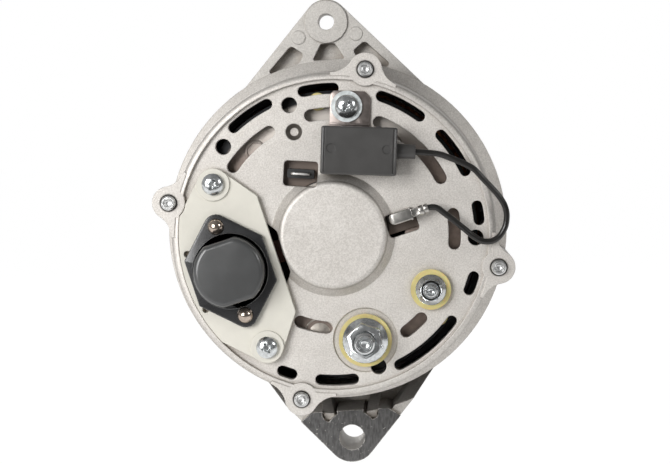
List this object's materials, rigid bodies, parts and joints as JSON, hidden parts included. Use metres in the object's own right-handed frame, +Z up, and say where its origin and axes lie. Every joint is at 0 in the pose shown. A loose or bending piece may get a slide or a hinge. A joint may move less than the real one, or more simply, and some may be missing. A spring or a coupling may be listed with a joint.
{
  "type": "alternator",
  "caption": "Belt-driven claw-pole alternator with vented cast frames, clip-on regulator, suppressor capacitor, external fan and V-belt pulley, held by a pivot foot and a tension ear.",
  "frame": {"origin": "centre of the pivot bore in the foot, midway along its length", "axes": "+Y along the shaft from the slip-ring end to the pulley, +Z up from the pivot bore towards the ear, +X to the right seen from the slip-ring end"},
  "size_m": [0.1423, 0.1588, 0.1946],
  "materials": {
    "rear_casting": "bead-blasted casting",
    "drive_casting": "bead-blasted casting",
    "lamination": "stacked, varnished",
    "copper": "enamelled wire",
    "zinc_steel": "bright zinc",
    "cream_plastic": "satin",
    "black_steel": "black, glossy",
    "nickel": "bright nickel",
    "brown_plastic": "moulded",
    "carbon": "carbon brush",
    "spring_steel": "drawn wire",
    "black_plastic": "moulded",
    "strap_steel": "tarnished",
    "lead_sheath": "glossy",
    "tin": "tinned",
    "yellow_plastic": "translucent insulator",
    "heat_sink": "pressed plate",
    "bearing_steel": "ground",
    "rubber_seal": "matte",
    "cage_plastic": "polyamide",
    "shaft_steel": "ground",
    "claw_steel": "forged",
    "bobbin_plastic": "moulded",
    "slip_copper": "turned",
    "fan_steel": "zinc-plated",
    "pulley_steel": "turned"
  },
  "bodies": {
    "housing": {"rear_frame": "rear_casting", "drive_frame": "drive_casting", "stator_core": "lamination", "stator_winding": "copper", "through_bolts": "zinc_steel", "regulator_plate": "cream_plastic", "regulator_base": "black_steel", "regulator_can": "black_steel", "regulator_rivets": "nickel", "plate_screws": "zinc_steel", "brush_holder": "brown_plastic", "rear_brush_spring": "spring_steel", "front_brush_spring": "spring_steel", "capacitor_body": "black_plastic", "capacitor_strap": "strap_steel", "capacitor_screw": "zinc_steel", "capacitor_washer": "zinc_steel", "capacitor_lead": "lead_sheath", "lead_terminal": "tin", "battery_stud": "zinc_steel", "battery_insulator": "yellow_plastic", "battery_nut": "zinc_steel", "lamp_stud": "zinc_steel", "lamp_insulator": "yellow_plastic", "lamp_nut": "zinc_steel", "blade_terminals": "tin", "blade_insulators": "black_plastic", "positive_plate": "heat_sink", "negative_plate": "heat_sink", "positive_diodes": "nickel", "negative_diodes": "nickel", "exciter_module": "black_plastic", "rectifier_spacers": "yellow_plastic", "rectifier_screws": "zinc_steel", "rear_bearing_outer": "bearing_steel", "front_bearing_outer": "bearing_steel", "bearing_seals": "rubber_seal", "retainer_plate": "zinc_steel", "retainer_screws": "zinc_steel"},
    "rotor": {"rotor_shaft": "shaft_steel", "shaft_key": "shaft_steel", "rear_claw_pole": "claw_steel", "front_claw_pole": "claw_steel", "field_coil": "copper", "coil_bobbin": "bobbin_plastic", "slip_ring_sleeve": "brown_plastic", "slip_rings": "slip_copper", "rear_bearing_inner": "bearing_steel", "front_bearing_inner": "bearing_steel", "front_spacer": "shaft_steel", "cooling_fan": "fan_steel", "drive_pulley": "pulley_steel", "pulley_washer": "zinc_steel", "pulley_nut": "zinc_steel"},
    "rear_cage": {"rear_bearing_balls": "bearing_steel", "rear_bearing_cage": "cage_plastic"},
    "front_cage": {"front_bearing_balls": "bearing_steel", "front_bearing_cage": "cage_plastic"},
    "rear_brush": {"rear_brush": "carbon"},
    "front_brush": {"front_brush": "carbon"}
  },
  "joints": [
    {"name": "rotor_spin", "type": "hinge", "parent": "housing", "child": "rotor", "pos_m": [-0.00595, 0, 0.0873], "axis": [0, 1, 0], "continuous": true},
    {"name": "rear_cage_spin", "type": "hinge", "parent": "housing", "child": "rear_cage", "pos_m": [-0.00595, 0, 0.0873], "axis": [0, 1, 0], "continuous": true},
    {"name": "front_cage_spin", "type": "hinge", "parent": "housing", "child": "front_cage", "pos_m": [-0.00595, 0, 0.0873], "axis": [0, 1, 0], "continuous": true},
    {"name": "rear_brush_slide", "type": "slide", "parent": "housing", "child": "rear_brush", "axis": [-0.9489, 0, -0.3156], "range_m": [0, 0.005], "stiffness_N_per_m": 150, "springref_m": -0.01, "deforming": ["rear_brush_spring"]},
    {"name": "front_brush_slide", "type": "slide", "parent": "housing", "child": "front_brush", "axis": [-0.9489, 0, -0.3156], "range_m": [0, 0.005], "stiffness_N_per_m": 150, "springref_m": -0.01, "deforming": ["front_brush_spring"]}
  ],
  "couplings": [
    {"joint": "rear_cage_spin", "follows": "rotor_spin", "ratio": 0.382},
    {"joint": "front_cage_spin", "follows": "rotor_spin", "ratio": 0.36719}
  ]
}
